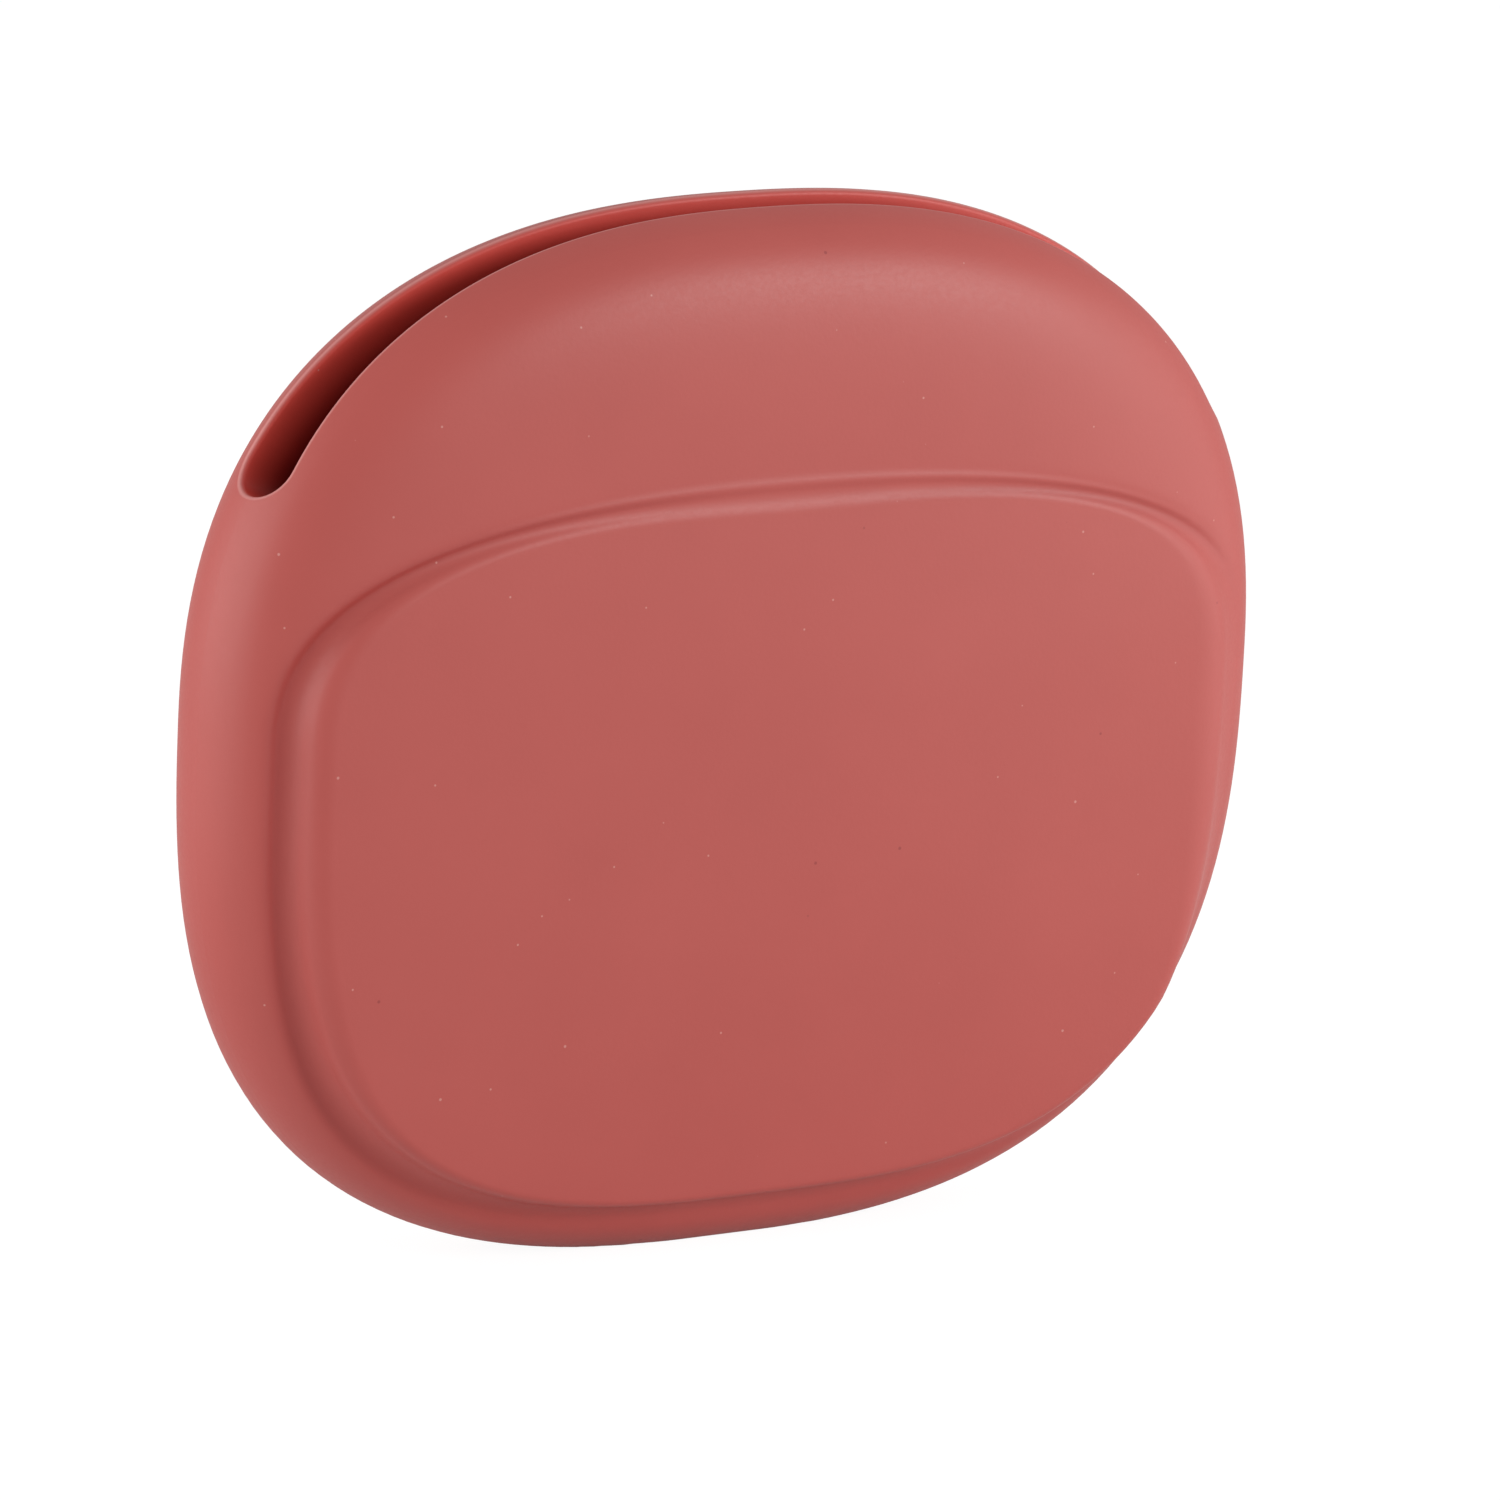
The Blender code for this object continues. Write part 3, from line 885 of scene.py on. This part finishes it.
def painted_crease_shade_strength(turn):
    fade_up = 1.0 - positive_part(np.sin(turn)) ** CREASE_FADE_UP
    fade_down = 1.0 - CREASE_LOST_AT_BOTTOM * positive_part(-np.sin(turn)) ** CREASE_FADE_DOWN
    return fade_up * fade_down * fade_to_right(turn)


def crease_place(turn):
    """The painted shade of the valley lies at the panel's foot, and a little up the step at the upper right.
    """
    to_right = positive_part(CLIMB_QUICKNESS * np.cos(turn))
    return CREASE_PLACE - CREASE_CLIMB * positive_part(np.sin(turn)) * to_right


def crease_width(turn):
    return CREASE_WIDTH * (1.0 - CREASE_NARROWED_AT_TOP * positive_part(np.sin(turn)))


def colour_values(turn, share, side, inner, sink):
    sunk = positive_part((sink - STILL_OUTSIDE) / (FULLY_INSIDE - STILL_OUTSIDE))
    is_outer_front = (inner == 0) & (sink == 0) & (side < 0)
    to_panel = share * body_reach(turn, sizes) - panel_reach(turn, sizes)
    valley = hump(to_panel, crease_place(turn), crease_width(turn))
    return {
        # Painted glow, then painted shade, in the mouth and on the inner skin
        "inside_painted_glow_and_shade": np.maximum(inner, sunk),
        # Painted shade in the valley beside the panel
        "painted_crease_shade": is_outer_front * CREASE_PAINTED_SHADE * painted_crease_shade_strength(turn) * valley,
        # A painted highlight along the lips' edges
        "edge": (sink > 0) * EDGE_PAINTED_HIGHLIGHT * hump(sink, EDGE_SINK, EDGE_WIDTH),
    }


print("the valley's darkest value:", round(CREASE_PAINTED_SHADE * float(painted_crease_shade_strength(math.pi)), 2))


def values_of(mesh, name):
    values = np.zeros(len(mesh.vertices), np.float32)
    mesh.attributes[name].data.foreach_get("value", values)
    return values


def lift_wall(wall):
    modifier = wall.modifiers.new("Lift the net", "NODES")
    modifier.node_group = wall_tree
    set_inputs(modifier, SIZES)
    make_plain(wall)
    knot_values = [values_of(wall.data, value_name) for value_name in KNOT_VALUES]
    for value_name in KNOT_VALUES:
        wall.data.attributes.remove(wall.data.attributes[value_name])
    for colour_name, values in colour_values(*knot_values).items():
        attribute = wall.data.attributes.new(colour_name, "FLOAT", "POINT")
        attribute.data.foreach_set("value", values.astype(np.float32))
    clean_and_smooth(wall.data)


for wall, lip_name in ((front_wall, "front_lip"), (back_wall, "back_lip")):
    lift_wall(wall)
    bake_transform(wall)
    print(wall.name, "has", len(wall.data.polygons), "faces")
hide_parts("pouch_body", "front_lip")
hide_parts("back_lip")

# %% [markdown]
# ## The closing magnets, their pads and plugs
#
# Each lip carries two flat magnets in thickened pads, where they can pull the lips together. A pad is a block
# with a pocket that opens downwards. The magnet goes in from below and a small plug of the same silicone shuts
# the pocket. One tree makes a block, cuts the pocket out of it and sets a copy on each side of the middle.
# A bevel rounds the edges afterwards, as any moulded edge is round. The magnets keep their CAD shape and get a
# nickel plate with fine rolling marks.

# %% Build the tree that makes a pair of blocks
def placed_cube(tree, size, centre):
    cube = tree.nodes.new("GeometryNodeMeshCube")
    move = tree.nodes.new("GeometryNodeTransform")
    tree.links.new(size, cube.inputs["Size"])
    tree.links.new(cube.outputs["Mesh"], move.inputs["Geometry"])
    tree.links.new(centre, move.inputs["Translation"])
    return move.outputs["Geometry"]


def pocketed(tree, block, entry):
    cut = tree.nodes.new("GeometryNodeMeshBoolean")
    cut.operation = "DIFFERENCE"
    cut.solver = "EXACT"
    pocket = placed_cube(tree, entry.outputs["Pocket Size"], entry.outputs["Pocket Centre"])
    tree.links.new(block, cut.inputs["Mesh 1"])
    tree.links.new(pocket, cut.inputs["Mesh 2"])
    return cut.outputs["Mesh"]


def make_pair_tree(name, material, with_pocket):
    tree = bpy.data.node_groups.new(name, "GeometryNodeTree")
    tree.interface.new_socket("Geometry", in_out="INPUT", socket_type="NodeSocketGeometry")
    tree.interface.new_socket("Pair", in_out="OUTPUT", socket_type="NodeSocketGeometry")
    for label in ("Spacing", "Size", "Centre", "Pocket Size", "Pocket Centre"):
        tree.interface.new_socket(label, in_out="INPUT", socket_type="NodeSocketVector")
    entry = tree.nodes.new("NodeGroupInput")
    block = placed_cube(tree, entry.outputs["Size"], entry.outputs["Centre"])
    if with_pocket:
        block = pocketed(tree, block, entry)
    line = tree.nodes.new("GeometryNodeMeshLine")
    line.inputs["Count"].default_value = 2
    half_back = tree.nodes.new("ShaderNodeVectorMath")
    half_back.operation = "SCALE"
    half_back.inputs["Scale"].default_value = -0.5
    copies = tree.nodes.new("GeometryNodeInstanceOnPoints")
    realise = tree.nodes.new("GeometryNodeRealizeInstances")
    dress = tree.nodes.new("GeometryNodeSetMaterial")
    dress.inputs["Material"].default_value = material
    leave = tree.nodes.new("NodeGroupOutput")
    tree.links.new(entry.outputs["Spacing"], half_back.inputs[0])
    tree.links.new(half_back.outputs["Vector"], line.inputs["Start Location"])
    tree.links.new(entry.outputs["Spacing"], line.inputs["Offset"])
    tree.links.new(line.outputs["Mesh"], copies.inputs["Points"])
    tree.links.new(block, copies.inputs["Instance"])
    tree.links.new(copies.outputs["Instances"], realise.inputs[0])
    tree.links.new(realise.outputs[0], dress.inputs["Geometry"])
    tree.links.new(dress.outputs[0], leave.inputs["Pair"])
    print(name, "has", len(tree.nodes), "nodes")
    return tree


pad_tree = make_pair_tree("pads_with_pockets", silicone, with_pocket=True)
plug_tree = make_pair_tree("plugs", silicone, with_pocket=False)

# %% Make the pads and plugs from the magnets' places
POCKET_CLEARANCE = 0.0003
POCKET_OPENING = 0.001          # how far the pocket's cutter reaches out below the pad
PAD_LENGTH = 0.0130
PAD_BOTTOM, PAD_TOP = 0.0700, 0.0746
PAD_DEPTHS = {"front": (-0.0059, -0.0030), "back": (0.0008, 0.0060)}
PAD_ROUNDING, PLUG_ROUNDING = 0.0006, 0.0003
ROUNDING_SEGMENTS = 3
BLOCK_CREASE_DEGREES = 50

right_magnet_low, right_magnet_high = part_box("front_magnet_right")
magnet_spacing = round(right_magnet_low[0] + right_magnet_high[0], 4)


def size_and_centre(low, high):
    return ([top - bottom for bottom, top in zip(low, high)],
            [(top + bottom) / 2 for bottom, top in zip(low, high)])


def make_pair(name, tree, body, rounding, low, high, pocket_low=(0, 0, 0), pocket_high=(0, 0, 0)):
    size, centre = size_and_centre(low, high)
    pocket_size, pocket_centre = size_and_centre(pocket_low, pocket_high)
    piece = bpy.data.objects.new(name, bpy.data.meshes.new(name))
    bpy.context.scene.collection.objects.link(piece)
    modifier = piece.modifiers.new("Make the pair", "NODES")
    modifier.node_group = tree
    set_inputs(modifier, {"Spacing": (magnet_spacing, 0.0, 0.0), "Size": size, "Centre": centre,
                          "Pocket Size": pocket_size, "Pocket Centre": pocket_centre})
    rounder = piece.modifiers.new("Round the edges", "BEVEL")
    rounder.width = rounding
    rounder.segments = ROUNDING_SEGMENTS
    make_plain(piece)
    clean_and_smooth(piece.data, BLOCK_CREASE_DEGREES)
    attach(piece, body)
    print(name, "has", len(piece.data.polygons), "faces")
    return piece


for side, (pad_front, pad_back) in PAD_DEPTHS.items():
    magnet_low, magnet_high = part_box(side + "_magnet_right")
    plug_low, plug_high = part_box(side + "_plug_right")
    half_length = (magnet_high[0] - magnet_low[0]) / 2
    gap = POCKET_CLEARANCE
    make_pair(side + "_pads", pad_tree, side + "_lip", PAD_ROUNDING,
              (-PAD_LENGTH / 2, pad_front, PAD_BOTTOM), (PAD_LENGTH / 2, pad_back, PAD_TOP),
              (-half_length - gap, magnet_low[1] - gap, PAD_BOTTOM - POCKET_OPENING),
              (half_length + gap, magnet_high[1] + gap, magnet_high[2] + gap))
    plugs = make_pair(side + "_plugs", plug_tree, side + "_lip", PLUG_ROUNDING,
                      (-half_length, plug_low[1], plug_low[2]), (half_length, plug_high[1], plug_high[2]))
    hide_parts(side + "_plug_left", side + "_plug_right")

# %% Plate the magnets
NICKEL_BRIGHT = (0.66, 0.63, 0.58)
NICKEL_DULL = (0.52, 0.49, 0.44)
NICKEL_ROUGHNESS = (0.24, 0.36)
ROLLING_SCALE = (120.0, 2500.0, 2500.0)
ROLLING_SPAN = (0.3, 0.7)


def make_nickel():
    material, tree, shader = new_material("nickel_plate")
    where = tree.nodes.new("ShaderNodeTexCoord").outputs["Object"]
    stretched = shader_node(tree, "ShaderNodeMapping", Vector=where, Scale=ROLLING_SCALE)
    marks = shader_node(tree, "ShaderNodeTexNoise", Vector=stretched.outputs[0], Scale=1.0, Detail=3.0)
    marks = marks.outputs["Fac"]
    tree.links.new(colour_mix(tree, remap(tree, marks, ROLLING_SPAN), NICKEL_DULL, NICKEL_BRIGHT),
                   shader.inputs["Base Color"])
    tree.links.new(remap(tree, marks, ROLLING_SPAN, NICKEL_ROUGHNESS), shader.inputs["Roughness"])
    shader.inputs["Metallic"].default_value = 1.0
    return material


nickel = make_nickel()
magnets = [piece for piece in bpy.data.objects if "_magnet_" in piece.name]
for magnet in magnets:
    magnet.material_slots[0].material = nickel
print("plated:", sorted(magnet.name for magnet in magnets))

# %% [markdown]
# ## The stage
#
# The pouch stands on a plain white table. A white surface that is lit to show colours as they are written
# renders a little grey, so the table also glows for the camera and for mirrors, but not for the pouch.
# That keeps the shadow and leaves the light on the pouch alone. The air does the same: the camera sees it
# white, and the pouch gets less of it.

# %% Lay the table
TABLE_WHITE, TABLE_ROUGHNESS = 0.78, 0.9
TABLE_GLOW, GLOW_SHARE, GLOW_IN_MIRRORS = 1.17, 0.80, 0.2
TABLE_REACH = 4


def seen_and_mirrored(tree):
    """1 for rays from the camera, also through glass, and 1 for rays off a glossy surface."""
    rays = tree.nodes.new("ShaderNodeLightPath")
    seen = larger(Wire(rays.outputs["Is Camera Ray"]), Wire(rays.outputs["Is Transmission Ray"]))
    return seen, Wire(rays.outputs["Is Glossy Ray"])


def make_table_white():
    material, tree, shader = new_material("white_table")
    shader.inputs["Base Color"].default_value = (TABLE_WHITE, TABLE_WHITE, TABLE_WHITE, 1.0)
    shader.inputs["Roughness"].default_value = TABLE_ROUGHNESS
    shader.inputs["Specular IOR Level"].default_value = 0.0
    seen, mirrored = seen_and_mirrored(tree)
    seen = larger(seen, mirrored * GLOW_IN_MIRRORS)
    glow = shader_node(tree, "ShaderNodeEmission", Color=(1.0, 1.0, 1.0, 1.0), Strength=TABLE_GLOW)
    mixed = shader_node(tree, "ShaderNodeMixShader")
    tree.links.new((seen * GLOW_SHARE).socket, mixed.inputs[0])
    tree.links.new(shader.outputs[0], mixed.inputs[1])
    tree.links.new(glow.outputs[0], mixed.inputs[2])
    tree.links.new(mixed.outputs[0], tree.nodes["Material Output"].inputs["Surface"])
    return material


def make_table():
    mesh = bpy.data.meshes.new("table")
    corners = [(x * TABLE_REACH, y * TABLE_REACH, 0) for x, y in ((-1, -1), (1, -1), (1, 1), (-1, 1))]
    mesh.from_pydata(corners, [], [(0, 1, 2, 3)])
    mesh.materials.append(make_table_white())
    table = bpy.data.objects.new("table", mesh)
    bpy.context.scene.collection.objects.link(table)
    print("table:", 2 * TABLE_REACH, "m square")


make_table()

# %% Set the air
AIR_SEEN, AIR_LIGHT, AIR_IN_MIRRORS = 1.0, 0.475, 0.13


def make_world():
    world = bpy.data.worlds.new("studio_air")
    world.use_nodes = True
    bpy.context.scene.world = world
    tree = world.node_tree
    seen, mirrored = seen_and_mirrored(tree)
    strength = seen * AIR_SEEN + (1.0 - seen) * (AIR_LIGHT + mirrored * AIR_IN_MIRRORS)
    background = tree.nodes["Background"]
    background.inputs["Color"].default_value = (1.0, 1.0, 1.0, 1.0)
    tree.links.new(strength.socket, background.inputs["Strength"])
    print("the air lights the pouch with", AIR_LIGHT)


make_world()

# %% [markdown]
# ## The lamps
#
# The light is soft and comes from all round, so there is hardly a shadow. A large lamp in front and to the
# right lights the panel. Two lamps stand close by: one grazes the panel from the right, and one lights the
# rolled wall on the left.

# %% Hang the lamps
LAMP_AIM = Vector((0.0, 0.0, 0.04))
# Azimuth and elevation in degrees, distance and size in metres, power in watts
LAMPS = {
    "key_lamp": (34, 20, 1.0, 0.30, 3.15),
    "right_lamp": (60, 9, 0.165, 0.15, 0.083),
    "left_lamp": (-99, 3, 0.27, 0.30, 0.60),
}


def direction_to(azimuth, elevation):
    """Azimuth 0 stands in front of the pouch, and 90 to its right."""
    turn, lift = math.radians(azimuth), math.radians(elevation)
    return Vector((math.sin(turn) * math.cos(lift), -math.cos(turn) * math.cos(lift), math.sin(lift)))


def add_lamp(name, azimuth, elevation, distance, size, power):
    """A square soft light that faces the pouch."""
    direction = direction_to(azimuth, elevation)
    light = bpy.data.lights.new(name, "AREA")
    light.size = size
    light.energy = power
    lamp = bpy.data.objects.new(name, light)
    lamp.location = LAMP_AIM + direction * distance
    lamp.rotation_euler = direction.to_track_quat("Z", "Y").to_euler()
    bpy.context.scene.collection.objects.link(lamp)


for lamp_name, lamp_setting in LAMPS.items():
    add_lamp(lamp_name, *lamp_setting)
print("lamps:", ", ".join(LAMPS))

# %% [markdown]
# ## The camera
#
# The camera looks from the pouch's left and a little from above, with a long lens, so that upright lines
# stay nearly upright. It leans by a few degrees, as a camera held by hand does. The lens follows from the
# scale that the pouch has in the picture, and the shift from the pixel that the camera aims at.

# %% Set up the camera
CAMERA_AZIMUTH, CAMERA_ELEVATION, CAMERA_ROLL = -30.3, 14.25, 2.65
CAMERA_AIM = Vector((0.0, 0.0, 0.0399))
CAMERA_DISTANCE = 0.7143
CLIP_START = 0.01
FRAME_WIDTH = 36.0              # of the camera's sensor, in millimetres
IMAGE_WIDTH = 1500              # pixels
PIXELS_PER_METRE = 13315.0
AIM_PIXEL_X, AIM_PIXEL_Y = 723.0, 714.2


def make_camera():
    view = direction_to(CAMERA_AZIMUTH, CAMERA_ELEVATION)
    right = Vector((0, 0, 1)).cross(view).normalized()
    up = view.cross(right)
    roll = math.radians(CAMERA_ROLL)
    rolled_right = math.cos(roll) * right + math.sin(roll) * up
    rolled_up = math.cos(roll) * up - math.sin(roll) * right
    rotation = Matrix((rolled_right, rolled_up, view)).transposed().to_4x4()
    lens = bpy.data.cameras.new("camera")
    lens.sensor_width = FRAME_WIDTH
    lens.lens = PIXELS_PER_METRE * CAMERA_DISTANCE * FRAME_WIDTH / IMAGE_WIDTH
    lens.shift_x = (IMAGE_WIDTH / 2 - AIM_PIXEL_X) / IMAGE_WIDTH
    lens.shift_y = (AIM_PIXEL_Y - IMAGE_WIDTH / 2) / IMAGE_WIDTH
    lens.clip_start = CLIP_START
    camera = bpy.data.objects.new("camera", lens)
    camera.matrix_world = Matrix.Translation(CAMERA_AIM + view * CAMERA_DISTANCE) @ rotation
    bpy.context.scene.collection.objects.link(camera)
    bpy.context.scene.camera = camera
    print("lens in mm:", round(lens.lens, 1))


make_camera()
bpy.context.scene.view_settings.view_transform = "Standard"
